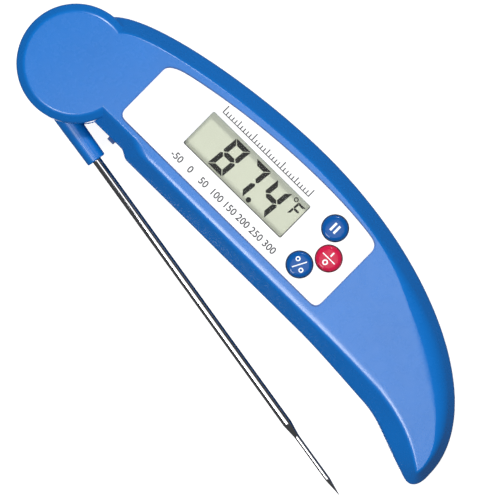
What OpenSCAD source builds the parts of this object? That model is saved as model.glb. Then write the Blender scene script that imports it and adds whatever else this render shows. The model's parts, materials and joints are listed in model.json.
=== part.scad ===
// Folding digital probe thermometer.
// The origin is the probe's pivot axis on the back plane. +X runs along the straight edge to
// the tail, +Y to the bowed edge, and +Z out of the display. Lengths are in millimetres.

/* [Casing] */
// Thickness from the back plane to the flat front
case_h = 19.5; // [19.3:0.1:20]
// Height of the plane where the two shells meet
parting_z = 9.5; // [9.4:0.1:9.6]
// Radius of the round head over the pivot
head_r = 15.5; // [15.4:0.1:15.7]
// Reach of the tail from the pivot
tail_reach = 140; // [139:0.5:141]
// Distance of the crown of the bowed edge along the casing
crown_x = 62.4; // [61:0.2:64]
// Distance of the crown of the bowed edge from the pivot line
crown_y = 28.7; // [28.5:0.1:29]
// Distance of the straight edge from the pivot line
edge_y = 8.85; // [8.8:0.01:8.9]
// Distance of the collar notch from the pivot line
notch_y = 7.5; // [7.4:0.05:7.55]
// Wall thickness
wall = 1.8; // [1.6:0.1:1.9]

/* [Probe] */
// Distance of the probe's axis from the pivot
probe_offset = 10.5; // [10.5:0.05:10.6]
// Angle between the probe and the straight edge as drawn
rest_angle = 9.5; // [8:0.5:30]
// Radius of the stainless tube
tube_r = 1.225; // [1.1:0.025:1.25]
// Radius of the fine needle at its end
needle_r = 0.665; // [0.6:0.005:0.7]
// Distance of the needle's point along the probe from the pivot
tip_s = 130.9; // [129:0.1:131]
// Distance of the collar's end along the probe from the pivot
collar_s = 23.1; // [22:0.1:23.5]
// Radius of the collar at its end
collar_r = 2.65; // [2.5:0.05:2.7]

/* [Display] */
// Width of the viewing window
window_w = 35.2; // [34:0.1:35.5]
// Height of the viewing window
window_h = 11.4; // [11:0.1:11.6]
// Length of the white panel
panel_w = 71.2; // [71:0.1:71.4]

/* [Buttons] */
// Radius of a button cap
button_r = 3.35; // [3.2:0.05:3.4]
// Distance a cap travels when it is pressed
button_travel = 0.4; // [0.3:0.05:0.4]

/* [Battery] */
// Length of the AAA cell, contact nub included
cell_l = 44.5; // [44:0.1:44.5]
// Diameter of the AAA cell
cell_d = 10.5; // [10.2:0.1:10.5]

/* [Hidden] */
$fn = 48;

// Plan of the casing
head_start = 97;
head_end = 360 - asin(notch_y / head_r);
head_n = 36;
tail_root = [[90, -edge_y], [96.5, -edge_y], [107, -edge_y - 0.9], [114, -edge_y - 1.35]];
tail_under = [[114, -edge_y - 1.35], [121, -edge_y - 1.8], [123.5, -12.7], [135.7, -16.8]];
tail_tip = [[135.7, -16.8], [138.9, -17.9], [tail_reach + 0.3, -15.4], [tail_reach, -11.6]];
outer_bow = [[tail_reach, -11.6], [tail_reach, 10.4], [104.5, crown_y], [crown_x, crown_y]];
inner_bow = [[crown_x, crown_y], [39.5, crown_y], [5.7, 23.3], head_r * [cos(head_start), sin(head_start)]];

// Plan of the flat front inside the bevelled border
crest_r = 13.4;
crest_y = 3.4;
crest_crown = crown_y - 5.4;
crest_head = crest_r * [cos(80), sin(80)];
crest_under = [[90, -crest_y], [110, -crest_y - 0.6], [127, -6], [136.4, -13.4]];
crest_tip = [[136.4, -13.4], [136.9, -13.8], [137.4, -13.4], [137.4, -12.4]];
crest_outer = [[137.4, -12.4], [137.6, 9.5], [101, crest_crown], [crown_x, crest_crown]];
crest_inner = [[crown_x, crest_crown], [40, crest_crown], [8, 18.5], crest_head];

// Heights in the casing
head_edge_z = case_h - 2;
body_edge_z = case_h - 5.5;
roof_z = case_h - 2;
cavity_end = 131;
notch_x = [24, 26.6];

// Probe pivot
hub_r = 14.6;
hub_h = 6.2;
chamber_r = hub_r + 0.3;
chamber_h = hub_h + 0.4;
neck_t = 1.5;
pivot_r = 4.5;
pivot_gap = 0.05;
pivot_top_z = 12.9;
socket_r = 3;
socket_z = 8.8;
washer_z = 5.8;
groove_r = [5.2, 7.4];
step_s = [107.95, 111.9];
point_l = 5;
tube_root_s = 5;
tube_root_thin = 0.1;

// Slot in the tail that shelters the folded probe
slot_half = 1.7;
slot_y = edge_y + 0.05;
slot_x = [86, 133];

// White panel and display
panel_x = 17.4;
panel_y = -1.6;
panel_t = 0.5;
panel_sunk = 0.1;
panel_gap = 0.15;
panel_r = 2.3;
window_c = [51.7, 10.5];
lens_z = case_h - 1.4;
lcd_size = [41, 15.8];
lcd_z = 16.2;
board_z = 12.6;
board_t = 1.2;
board_box = [[25.3, -5], [88, 20.5]];

// Buttons
button_at = [[77.6, 16.6], [81.9, 9.9], [77.6, 3.5]];
button_hole_r = button_r + 0.3;

// Battery bay, in a frame turned to the cell's axis with its origin on the door's hinge edge
bay_origin = [75.9, 11.2];
bay_turn = -12.5;
bay_l = 50.5;
bay_w = 13;
cell_z = 7.1;
cell_x = 4.6;
door_gap = 0.2;
door_t = 1.6;
door_tab_y = 5;

// Fasteners
case_screw_at = [[18.5, 15], [21.5, -2.3], [93, -2.8], [93, 17.5]];
board_screw_at = [[28, -1.5], [27.8, 17], [85.5, -1.5]];
case_boss_r = 2.2;
board_boss_r = 1.9;
case_pilot_r = 1.02;
board_pilot_r = 0.77;
counterbore_r = 2.5;
counterbore_z = 3;
weld = 0.3;

// ---- Curves ----

// Point at t on the cubic curve with control points c
function bezier(c, t) =
    pow(1 - t, 3) * c[0] + 3 * pow(1 - t, 2) * t * c[1] + 3 * (1 - t) * t * t * c[2] + pow(t, 3) * c[3];

// n points along a cubic curve, without its start
function curve(c, n) = [for (i = [1:n]) bezier(c, i / n)];

// n + 1 points on a circle about the pivot
function arc(r, a0, a1, n) = [for (i = [0:n]) let (a = a0 + (a1 - a0) * i / n) r * [cos(a), sin(a)]];

function unit(v) = v / norm(v);

// Closed anticlockwise outline moved inwards by d
function inset(p, d) = let (n = len(p)) [
    for (i = [0:n - 1])
        let (u = unit(p[i] - p[(i + n - 1) % n]))
        let (v = unit(p[(i + 1) % n] - p[i]))
        let (t = unit(u + v))
        p[i] + d * [-t[1], t[0]] / max(0.7, u * t)
];

// Outer outline of the casing
function rim() = concat(
    arc(head_r, head_start, head_end, head_n),
    [[notch_x[0], -notch_y], [notch_x[1], -edge_y], [90, -edge_y]],
    curve(tail_root, 6), curve(tail_under, 8), curve(tail_tip, 6), curve(outer_bow, 18),
    [for (i = [1:13]) bezier(inner_bow, i / 14)]
);

// Border of the flat front, point for point with rim()
function crest() = concat(
    arc(crest_r, 80, 360 - asin(crest_y / crest_r), head_n),
    [[notch_x[0], -crest_y], [notch_x[1], -crest_y], [90, -crest_y]],
    curve(crest_under, 14), curve(crest_tip, 6), curve(crest_outer, 18),
    [for (i = [1:13]) bezier(crest_inner, i / 14)]
);

rim_line = rim();
crest_line = crest();

// Outline part of the way from the rim to the flat front
function ring(k) = rim_line * (1 - k) + crest_line * k;

// Hollow of the casing at ring k, closed across the tail
function hollow(k) = let (p = inset(ring(k), wall), last = head_n + 2) concat(
    [for (i = [0:last]) p[i]],
    [[cavity_end, p[last][1]]],
    [for (i = [last + 22:len(p) - 1]) if (p[i][0] < cavity_end) p[i]]
);

// Solid through equal rings of points, bottom ring first
module loft(rings) {
    n = len(rings[0]);
    top = n * (len(rings) - 1);
    sides = [
        for (j = [0:len(rings) - 2]) for (i = [0:n - 1])
            let (k = (i + 1) % n) [i + j * n, i + (j + 1) * n, k + (j + 1) * n, k + j * n]
    ];
    floor_face = [for (i = [0:n - 1]) i];
    top_face = [for (i = [0:n - 1]) top + n - 1 - i];
    polyhedron(points = [for (r = rings) each r], faces = concat([floor_face, top_face], sides));
}

function lift(p, z) = [for (q = p) [q[0], q[1], z]];

// Round tube of radius r swept along a route; up is never parallel to the route
module sweep(route, r, up = [0, 0, 1], sides = 8) {
    n = len(route);
    tangent = [for (i = [0:n - 1]) unit(route[min(i + 1, n - 1)] - route[max(i - 1, 0)])];
    rings = [
        for (i = [0:n - 1])
            let (a = unit(cross(up, tangent[i])), b = cross(tangent[i], a))
            [for (s = [0:sides - 1]) route[i] + r * (cos(360 * s / sides) * a + sin(360 * s / sides) * b)]
    ];
    loft(rings);
}

// Smooth route through control points: one cubic curve for each group of three after the first
function smooth(c, n = 6) = concat([c[0]], [
    for (g = [0:(len(c) - 1) / 3 - 1]) each curve([for (i = [0:3]) c[3 * g + i]], n)
]);

// Polygon corner softened by a short curve of reach r
function corner(a, p, b, r) = let (s = p + r * unit(a - p), e = p + r * unit(b - p))
    [for (i = [0:5]) bezier([s, s + (p - s) * 0.55, e + (p - e) * 0.55, e], i / 5)];

// Upright cylinder between two heights
module pillar(at, z0, z1, r, sides = 48) {
    translate([at[0], at[1], z0]) cylinder(h = z1 - z0, r = r, $fn = sides);
}

module box(lo, hi) {
    translate(lo) cube(hi - lo);
}

module plate(lo, hi, r, z0, z1) {
    a = [hi[0], lo[1]];
    b = [lo[0], hi[1]];
    outline = concat(corner(b, lo, a, r), corner(lo, a, hi, r), corner(a, hi, b, r), corner(hi, b, lo, r));
    translate([0, 0, z0]) linear_extrude(z1 - z0) polygon(outline);
}

// ---- Casing ----

// Keeps the part of its child between two heights, so that both end faces are flat
module trimmed(z0, z1) {
    intersection() {
        children();
        box([-20, -30, z0], [150, 40, z1]);
    }
}

// Front half of the solid casing, before it is hollowed
module front_form() {
    profile = [[0, 0], [0.36, 0.46], [0.7, 0.84], [0.87, 0.96], [1.08, 1.025]];
    edge = [for (i = [0:len(rim_line) - 1]) i <= head_n ? head_edge_z : body_edge_z];
    rings = [
        for (level = profile)
            let (p = ring(level[0]))
            [for (i = [0:len(p) - 1]) [p[i][0], p[i][1], edge[i] + (case_h - edge[i]) * level[1]]]
    ];
    trimmed(parting_z, case_h) loft(concat([lift(rim_line, parting_z - 1)], rings));
}

// Rear half of the solid casing, with its rounded back edge
module rear_form() {
    depth = 1.9;
    rounding = [for (a = [60:-30:0]) lift(inset(rim_line, depth * (1 - cos(a))), depth * (1 - sin(a)))];
    lowest = lift(inset(rim_line, depth * 1.1), -0.08);
    trimmed(0, parting_z) loft(concat([lowest], rounding, [lift(rim_line, parting_z + 1)]));
}

// Room for the hub, open around the head and closed towards the casing
module hub_chamber() {
    reach = 22;
    corner_reach = 24;
    z0 = parting_z - chamber_h / 2;
    pillar([0, 0], z0, z0 + chamber_h, chamber_r, 96);
    translate([0, 0, z0]) linear_extrude(chamber_h) polygon([
        [0, 0], reach * [cos(head_start + 1), sin(head_start + 1)],
        [-corner_reach, corner_reach], [-corner_reach, -corner_reach],
        [corner_reach * cos(head_end), -corner_reach],
        reach * [cos(head_end), sin(head_end)]
    ]);
}

// Wall between the hub chamber and the casing's hollow
module neck_wall(z0, z1) {
    intersection() {
        difference() {
            pillar([0, 0], z0, z1, chamber_r + neck_t, 96);
            pillar([0, 0], z0 - 1, z1 + 1, chamber_r, 96);
        }
        box([0, -notch_y, z0], [20, 17, z1]);
    }
}

// Open-sided slot for the folded tube and needle
module probe_slot() {
    box([slot_x[0], -22, parting_z - slot_half], [slot_x[1], -slot_y, parting_z + slot_half]);
}

module front_hollow() {
    levels = [[parting_z - 1, 13.6, 0], [13.5, 15.6, 0.28], [15.5, roof_z, 0.64]];
    difference() {
        for (l = levels) translate([0, 0, l[0]]) linear_extrude(l[1] - l[0]) polygon(hollow(l[2]));
        neck_wall(parting_z - 2, 13.4);
    }
}

// White panel's outline, grown by d on every side
function panel_outline(d) = let (
    x0 = panel_x - d, x1 = panel_x + panel_w + d, y0 = panel_y - d,
    top = [[x1, 21 + d], [76, 23.7 + d], [46, 24 + d], [x0, 16.9 + d]],
    right = bezier(top, 0.07), left = bezier(top, 0.94)
) concat(
    corner([x0, 9], [x0, y0], [50, y0], panel_r), corner([50, y0], [x1, y0], [x1, 9], panel_r),
    corner([x1, 9], [x1, 21 + d], right, 2.3), [for (i = [1:12]) bezier(top, 0.07 + 0.87 * i / 13)],
    corner(left, [x0, 16.9 + d], [x0, 9], panel_r)
);

function window_lo(grow) = window_c - [window_w, window_h] / 2 - [grow, grow];
function window_hi(grow) = window_c + [window_w, window_h] / 2 + [grow, grow];

// Openings in the front for the panel, the display and the buttons
module front_openings() {
    floor_z = case_h - panel_t - panel_sunk;
    translate([0, 0, floor_z]) linear_extrude(3) polygon(panel_outline(panel_gap));
    plate(window_lo(1.6), window_hi(1.6), 0.8, lens_z, floor_z + 1);
    plate(window_lo(0), window_hi(0), 0.5, roof_z - 1, floor_z + 1);
    for (p = button_at) pillar(p, roof_z - 1, case_h + 3, button_hole_r);
}

// Pillars for the screws, and the plug that fits the rear shell's pivot post
module front_bosses() {
    for (p = case_screw_at) pillar(p, parting_z, roof_z + weld, case_boss_r);
    for (p = board_screw_at) pillar(p, board_z + board_t, roof_z + weld, board_boss_r);
    pillar([0, 0], pivot_top_z + 0.1, roof_z + weld, pivot_r - 0.1);
    pillar([0, 0], socket_z + 0.2, pivot_top_z + 1, socket_r - 0.1);
}

module front_shell() {
    color("royalblue") difference() {
        union() {
            difference() {
                front_form();
                front_hollow();
                hub_chamber();
            }
            front_bosses();
        }
        front_openings();
        probe_slot();
        bumper_shape(0.02);
        for (p = case_screw_at) pillar(p, parting_z - 1, 15.5, case_pilot_r);
        for (p = board_screw_at) pillar(p, board_z, 16.8, board_pilot_r);
    }
}

// Places its children in the battery bay's frame
module in_bay() {
    translate([bay_origin[0], bay_origin[1], 0]) rotate([0, 0, bay_turn]) children();
}

// Upright walls around the cell
module bay_walls() {
    in_bay() box([-1.2, -bay_w / 2 - 1.2, 1], [bay_l + 1.2, bay_w / 2 + 1.2, parting_z - 0.2]);
}

module rear_shell() {
    boss_r = 3.1;
    seat_r = 8.5;
    catch_reach = 1.3;
    color("royalblue") difference() {
        union() {
            difference() {
                rear_form();
                difference() {
                    translate([0, 0, wall]) linear_extrude(parting_z) polygon(hollow(0));
                    neck_wall(0, parting_z);
                }
                hub_chamber();
            }
            bay_walls();
            for (p = case_screw_at) pillar(p, 0.5, parting_z, boss_r);
            pillar([0, 0], 1, pivot_top_z, pivot_r);
            pillar([0, 0], 1, washer_z, seat_r);
        }
        in_bay() {
            box([0, -bay_w / 2, -1], [bay_l, bay_w / 2, 12]);
            for (side = [-1, 1])
                box([-catch_reach, side * door_tab_y - 1.2, wall], [0.1, side * door_tab_y + 1.2, 3.6]);
        }
        probe_slot();
        pillar([0, 0], socket_z, pivot_top_z + 1, socket_r);
        for (p = case_screw_at) {
            pillar(p, -1, counterbore_z, counterbore_r);
            pillar(p, -1, parting_z + 1, 1.15);
        }
    }
}

module bumper_shape(grow) {
    box([19.2 - grow, -8.3, 11.5 - grow], [21.3 + grow, -6.4 + grow, 13.7 + grow]);
}

module fold_bumper() {
    color("black") bumper_shape(0);
}

module friction_washer() {
    color("ivory") difference() {
        pillar([0, 0], washer_z + 0.02, washer_z + 0.52, 8);
        pillar([0, 0], washer_z - 1, washer_z + 2, pivot_r + 0.05);
    }
}

module casing_screws() {
    head_h = 1.8;
    head_z = counterbore_z - head_h;
    color("silver") for (p = case_screw_at) {
        difference() {
            pillar(p, head_z, counterbore_z, 2.2);
            for (a = [0, 90]) translate([p[0], p[1], head_z]) rotate([0, 0, a])
                box([-1.3, -0.25, -1], [1.3, 0.25, 0.9]);
        }
        pillar(p, head_z, 13.7, 1);
    }
}

module battery_door() {
    half = bay_w / 2 - door_gap;
    grip_pitch = 1.4;
    grip_w = 0.7;
    color("royalblue") in_bay() {
        difference() {
            box([door_gap, -half, 0], [bay_l - door_gap, half, door_t]);
            for (i = [0:3]) translate([bay_l - 8 + grip_pitch * i, 0, 0]) box([0, -4, -1], [grip_w, 4, 0.5]);
        }
        for (side = [-1, 1]) {
            box([door_gap, side * door_tab_y - 1, door_t - 0.2], [1.6, side * door_tab_y + 1, 2.9]);
            box([-1.1, side * door_tab_y - 1, 2], [0.5, side * door_tab_y + 1, 2.9]);
        }
        box([bay_l - 0.7, -3, door_t - 0.2], [bay_l - 0.25, 3, 3.5]);
    }
}

// ---- Panel and display ----

module overlay_panel() {
    color("whitesmoke") translate([0, 0, case_h - panel_sunk - panel_t]) difference() {
        linear_extrude(panel_t) polygon(panel_outline(0));
        plate(window_lo(0), window_hi(0), 0.5, -1, 2);
        for (p = button_at) pillar(p, -1, 2, button_hole_r);
    }
}

module display_window() {
    color([0.85, 0.9, 0.9, 0.4])
        plate(window_lo(1.5), window_hi(1.5), 0.7, lens_z, case_h - panel_t - panel_sunk);
}

// Rectangular layer centred on the display
module lcd_layer(w, h, z0, z1) {
    box([window_c[0] - w / 2, window_c[1] - h / 2, z0], [window_c[0] + w / 2, window_c[1] + h / 2, z1]);
}

module lcd_polariser() {
    color("darkseagreen") lcd_layer(lcd_size[0] - 4, lcd_size[1] - 3.2, lcd_z + 0.8, lcd_z + 1);
}

module lcd_front_glass() {
    color("lightgray") lcd_layer(lcd_size[0], lcd_size[1], lcd_z, lcd_z + 0.8);
}

module lcd_rear_glass() {
    color("gray") lcd_layer(lcd_size[0], lcd_size[1] - 3.2, lcd_z - 0.8, lcd_z);
}

module lcd_reflector() {
    color("silver") lcd_layer(lcd_size[0] - 1, lcd_size[1] - 4, lcd_z - 1, lcd_z - 0.8);
}

module lcd_frame() {
    board_top = board_z + board_t;
    color("white") difference() {
        lcd_layer(lcd_size[0] + 1.6, lcd_size[1] + 1.6, board_top, lcd_z + 1.2);
        lcd_layer(lcd_size[0] + 0.04, lcd_size[1] + 0.04, board_top - 1, lcd_z + 0.8);
        lcd_layer(lcd_size[0] - 3.6, lcd_size[1] - 2.8, board_top, lcd_z + 2);
    }
}

module zebra_strips() {
    inner = lcd_size[1] / 2 - 1.5;
    color("dimgray") for (side = [-1, 1]) translate([window_c[0], window_c[1] + side * (inner + 0.65), 0])
        box([-19, -0.65, board_z + board_t], [19, 0.65, lcd_z]);
}

// ---- Electronics ----

module circuit_board() {
    color("darkgreen") difference() {
        plate(board_box[0], board_box[1], 1.5, board_z, board_z + board_t);
        for (p = board_screw_at) pillar(p, board_z - 1, board_z + board_t + 1, 1);
    }
}

module chip_blob() {
    color("black") translate([window_c[0], window_c[1], board_z + board_t]) rotate_extrude()
        polygon(concat([[0, 0]], [for (a = [0:15:90]) [4.5 * cos(a), 1.1 * sin(a)]]));
}

module chip_capacitors() {
    color("tan") for (i = [0:3]) translate([37 + 1.9 * i, 6, board_z + board_t])
        box([0, 0, 0], [0.8, 1.6, 0.8]);
}

module switch_bodies() {
    color("dimgray") for (p = button_at) translate([p[0], p[1], board_z + board_t]) difference() {
        box([-2.25, -2.25, 0], [2.25, 2.25, 2]);
        translate([0, 0, 0.8]) cylinder(h = 2, r = 1.2);
    }
}

module switch_plunger(i) {
    foot = board_z + board_t + 1.4;
    color("black") pillar(button_at[i], foot, foot + 1.2, 1.1);
}

module hold_plunger() {
    switch_plunger(0);
}

module power_plunger() {
    switch_plunger(1);
}

module unit_plunger() {
    switch_plunger(2);
}

// Domed cap with a flange that keeps it behind the front wall
module button_cap(i) {
    foot = board_z + board_t + 2.6;
    flange_z = roof_z - 0.5;
    flange_r = button_r + 0.35;
    dome = [for (a = [0:15:90]) [button_r - 0.5 + 0.5 * cos(a), case_h + 0.1 + 0.3 * sin(a)]];
    translate([button_at[i][0], button_at[i][1], 0]) rotate_extrude() polygon(concat(
        [[0, foot], [1.2, foot], [1.2, flange_z], [flange_r, flange_z], [flange_r, flange_z + 0.4]],
        [[button_r, flange_z + 0.4]], dome, [[0, case_h + 0.7]]
    ));
}

module hold_button() {
    color("mediumblue") button_cap(0);
}

module power_button() {
    color("crimson") button_cap(1);
}

module unit_button() {
    color("mediumblue") button_cap(2);
}

module board_screws() {
    head_h = 1;
    color("silver") for (p = board_screw_at) {
        pillar(p, board_z - head_h, board_z, 1.5);
        pillar(p, board_z - head_h, 16.2, 0.75);
    }
}

// ---- Battery ----

module battery_cell() {
    nub = 1;
    color("darkorange") in_bay() translate([cell_x, 0, cell_z]) rotate([0, 90, 0]) {
        cylinder(h = cell_l - nub, r = cell_d / 2);
        cylinder(h = cell_l, r = 1.9);
    }
}

module positive_contact() {
    x = cell_x + cell_l;
    color("gainsboro") in_bay() box([x + 0.05, -3.8, 3], [x + 0.4, 3.8, 11]);
}

// Conical coil that presses on the cell's flat end, wound about the bay's X axis
module negative_spring() {
    turns = 3.5;
    coil = [
        for (i = [0:turns * 14])
            let (a = 360 * i / 14, f = i / (turns * 14), r = 4 - 1.8 * f)
            [0.85 + 3.3 * f, r * cos(a), cell_z + r * sin(a)]
    ];
    color("gainsboro") in_bay() {
        box([0.2, -3.8, 2.8], [0.6, 3.8, 11.4]);
        sweep(coil, 0.35, up = [1, 0, 0]);
    }
}

module positive_lead() {
    color("red") sweep(smooth([
        [125, 4.8, 10.2], [125, 5, 11.5], [123.5, 5.4, 12.6], [119, 5.2, 13],
        [108, 5, 13.4], [97, 5.6, 13.3], [92, 5.4, 13.6], [90, 5.3, 13.8], [88.4, 5.2, 14.6], [86.2, 5.2, 14.4]
    ]), 0.5, up = [0, 1, 0.2]);
}

module negative_lead() {
    color("black") sweep(smooth([
        [77.2, 15.5, 10.4], [77, 18, 10.6], [76.8, 20, 10.8], [76.8, 21.8, 11.6],
        [76.8, 23, 12.4], [76.6, 22.8, 14.4], [76.4, 21.6, 14.7], [76.3, 21, 14.9], [76.2, 20.3, 14.6],
        [76.1, 19.6, 14.4]
    ]), 0.5, up = [1, 0, 0]);
}

// ---- Probe ----

// Turns its children to the probe's direction as drawn
module along_probe() {
    rotate([0, 0, -rest_angle]) children();
}

// Round profile spun about the probe's axis; points are [radius, distance along the probe]
module spun(points) {
    translate([0, -probe_offset, parting_z]) rotate([0, 90, 0]) rotate_extrude() polygon(points);
}

module probe_hub() {
    chamfer = 0.4;
    collar = [
        [0, tube_root_s], [collar_r + 0.25, tube_root_s], [collar_r + 0.2, 12],
        [collar_r, collar_s - chamfer], [collar_r - chamfer, collar_s], [0, collar_s]
    ];
    color("royalblue") along_probe() difference() {
        union() {
            pillar([0, 0], parting_z - hub_h / 2, parting_z + hub_h / 2, hub_r, 96);
            spun(collar);
        }
        pillar([0, 0], 0, case_h, pivot_r + pivot_gap);
        difference() {
            pillar([0, 0], parting_z + 0.1, case_h, groove_r[1]);
            pillar([0, 0], parting_z, case_h + 1, groove_r[0]);
        }
        spun([[0, tube_root_s], [tube_r, tube_root_s], [tube_r, collar_s + 1], [0, collar_s + 1]]);
        box([1.6, -probe_offset - 1.2, parting_z - 1], [tube_root_s + 0.1, -6, case_h]);
    }
}

// Drawn tube, tapered a little where it is bonded inside the collar
module probe_sheath() {
    start_s = tube_root_s + 0.2;
    root_r = tube_r - tube_root_thin;
    bore = 0.95;
    needle_bore = 0.4;
    bore_end = tip_s - point_l - 0.4;
    color("silver") along_probe() spun([
        [bore, start_s], [root_r, start_s], [tube_r, collar_s], [tube_r, step_s[0]], [needle_r, step_s[1]],
        [needle_r, tip_s - point_l], [0, tip_s],
        [0, bore_end], [needle_bore, bore_end], [needle_bore, step_s[1]], [bore, step_s[0] - 1]
    ]);
}

bead_s = tip_s - 7.5;
bead_r = 0.25;
lead_r = 0.07;

module thermistor() {
    color("black") along_probe() translate([bead_s, -probe_offset, parting_z]) sphere(r = bead_r, $fn = 24);
}

// Two insulated wires that run from the bead through the tube and once round the pivot
module thermistor_leads() {
    route = smooth([
        [6, -probe_offset, parting_z], [4, -probe_offset, parting_z], [2.6, -9.4, 10.3], [2.6, -7.6, 10.4],
        [2.6, -6.8, 10.4], [2.6, -6.2, 10.4], [1.6, -6.1, 10.4], [0, -6.3, 10.4]
    ]);
    loop = [for (a = [-96:-12:-300]) [6.3 * cos(a), 6.3 * sin(a), 10.4]];
    color("sienna") along_probe() {
        sweep(concat([for (i = [0:11]) route[i]], loop), 0.35);
        for (side = [-1, 1]) translate([6.1, side * 0.13 - probe_offset, parting_z]) rotate([0, 90, 0])
            cylinder(h = bead_s - bead_r - 6.1, r = lead_r);
    }
}

module probe_potting() {
    start_s = bead_s - 3;
    end_s = bead_s + 1.5;
    color("darkgray") along_probe() difference() {
        spun([[0, start_s], [0.39, start_s], [0.39, end_s], [0, end_s]]);
        translate([bead_s, -probe_offset, parting_z]) sphere(r = bead_r + 0.01, $fn = 24);
        for (side = [-1, 1]) translate([start_s - 1, side * 0.13 - probe_offset, parting_z]) rotate([0, 90, 0])
            cylinder(h = 4, r = lead_r + 0.01);
    }
}

// Casing's length of the probe cable, from the loop round the pivot to the circuit board
module sensor_cable() {
    loop = [for (a = [200:-14:18]) [6.3 * cos(a), 6.3 * sin(a), 12]];
    route = smooth([
        [6.3, 0.8, 12.1], [6.2, 0, 12.8], [6.7, -0.5, 13.8], [9, -0.6, 14.6],
        [11, -0.6, 15.4], [15, 0, 15.2], [19, 2, 15], [22, 3.6, 14.9], [24, 4.6, 14.8], [27, 5, 14.35]
    ]);
    color("dimgray") sweep(concat(loop, route), 0.45);
}

front_shell();
rear_shell();
overlay_panel();
display_window();
lcd_polariser();
lcd_front_glass();
lcd_rear_glass();
lcd_reflector();
lcd_frame();
zebra_strips();
circuit_board();
chip_blob();
chip_capacitors();
switch_bodies();
board_screws();
battery_cell();
positive_contact();
negative_spring();
positive_lead();
negative_lead();
sensor_cable();
casing_screws();
friction_washer();
fold_bumper();
battery_door();
probe_hub();
probe_sheath();
thermistor();
thermistor_leads();
probe_potting();
hold_button();
power_button();
unit_button();
hold_plunger();
power_plunger();
unit_plunger();
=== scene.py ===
import json
import math

import bmesh
import bpy
from mathutils import Matrix, Vector


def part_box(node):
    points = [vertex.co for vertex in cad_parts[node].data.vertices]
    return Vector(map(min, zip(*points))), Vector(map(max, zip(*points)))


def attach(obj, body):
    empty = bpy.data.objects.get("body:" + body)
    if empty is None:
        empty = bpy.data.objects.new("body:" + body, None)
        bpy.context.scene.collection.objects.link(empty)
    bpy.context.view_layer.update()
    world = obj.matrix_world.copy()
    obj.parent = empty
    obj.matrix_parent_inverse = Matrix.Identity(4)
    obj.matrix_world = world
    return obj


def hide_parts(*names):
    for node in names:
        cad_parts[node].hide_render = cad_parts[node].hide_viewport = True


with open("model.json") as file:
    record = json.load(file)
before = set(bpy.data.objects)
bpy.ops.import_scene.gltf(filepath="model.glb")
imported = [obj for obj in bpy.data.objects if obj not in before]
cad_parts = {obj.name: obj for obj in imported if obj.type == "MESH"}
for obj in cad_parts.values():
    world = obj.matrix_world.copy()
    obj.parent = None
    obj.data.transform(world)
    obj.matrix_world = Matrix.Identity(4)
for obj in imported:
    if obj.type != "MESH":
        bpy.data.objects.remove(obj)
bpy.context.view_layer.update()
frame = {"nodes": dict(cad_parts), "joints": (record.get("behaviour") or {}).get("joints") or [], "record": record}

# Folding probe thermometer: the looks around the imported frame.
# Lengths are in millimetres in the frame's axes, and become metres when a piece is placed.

MM = 0.001


# ---- Sizes read from the frame ----

def span(node):
    """Lowest and highest corner of a CAD node, in millimetres."""
    low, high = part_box(node)
    return low / MM, high / MM


def joint(name):
    return next(j for j in frame["joints"] if j["name"] == name)


def mount(name):
    return next(m for m in frame["record"]["mounts"] if m["name"] == name)


front_low, front_high = span("front_shell")
panel_low, panel_high = span("overlay_panel")
lens_low, lens_high = span("display_window")
hub_low, hub_high = span("probe_hub")
film_high = span("lcd_polariser")[1]

CASE_H = front_high.z
CROWN_Y = front_high.y
TAIL_X = round(front_high.x)
HEAD_R = round(-front_low.x, 1)
PARTING_Z = joint("probe_fold")["pos_m"][2] / MM
HUB_R = round(-hub_low.x, 1)

# ---- Sizes of the casing ----

EDGE_Y = 8.85            # straight edge below the pivot line
NOTCH_Y = 7.5            # same edge where it makes room for the collar
RIDGE_Y = 5.2           # ridge of the border along the straight edge
WALL = 1.8
SEAM = 0.18              # chamfer on each side of the parting line
HEAD_RIDGE_R = 13.55
HEAD_EDGE_Z = CASE_H - 2
BODY_EDGE_Z = CASE_H - 5.5
BACK_ROUND = 1.9
ROLL_TILT = 0.34         # slope of the flat front where it rolls over to the ridge
CHAMBER_R = HUB_R + 0.3
CHAMBER_GAP = 0.2
NECK_WALL = 1.5
ROOF_Z = CASE_H - 2

CASE_SCREWS = [(18.5, 15), (21.5, -2.3), (93, -2.8), (93, 17.5)]
BOARD_SCREWS = [(28, -1.5), (27.8, 17), (85.5, -1.5)]

# ---- Sizes of the panel, display and keys ----

PANEL_GAP = 0.27
PANEL_FLOOR_Z = panel_low.z
WINDOW_LOW = Vector((lens_low.x + 1.5, lens_low.y + 1.5))
WINDOW_HIGH = Vector((lens_high.x - 1.5, lens_high.y - 1.5))
KEYS = {"hold": "hold_button", "power": "power_button", "unit": "unit_button"}
KEY_R = 3.35
KEY_HOLE_R = KEY_R + 0.3

# ---- Sizes of the battery bay: its own axes, X along the cell from the door's hinge edge ----

door_joint = joint("battery_door_tilt")
BAY_ORIGIN = Vector(door_joint["pos_m"]) / MM
BAY_Y = Vector(door_joint["axis"]).normalized()
BAY_X = BAY_Y.cross(Vector((0, 0, 1)))
BAY_L = 50.5
BAY_W = 13
DOOR_GAP = 0.2
DOOR_T = 1.6

# ---- Sizes of the probe: distances are along its axis from the pivot's foot ----

probe_axis = Vector(mount("probe_shaft")["axis"]).normalized()
probe_side = Vector((0, 0, 1)).cross(probe_axis)
PROBE_OFFSET = -Vector(mount("probe_shaft")["pos_m"]).dot(probe_side) / MM
TUBE_R = mount("probe_shaft")["dims"]["r_mm"]
COLLAR_END = 23.1
NEEDLE_R = 0.665
STEP = (107.95, 111.9)
NEEDLE_END = 125.9
TIP = 130.9


# ---- Curves ----

def cubic(c, n):
    """n + 1 points along the cubic curve with control points c."""
    points = []
    for i in range(n + 1):
        t = i / n
        weights = ((1 - t) ** 3, 3 * (1 - t) ** 2 * t, 3 * (1 - t) * t * t, t ** 3)
        points.append(sum((Vector(p) * w for p, w in zip(c, weights)), Vector((0, 0))))
    return points


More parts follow.
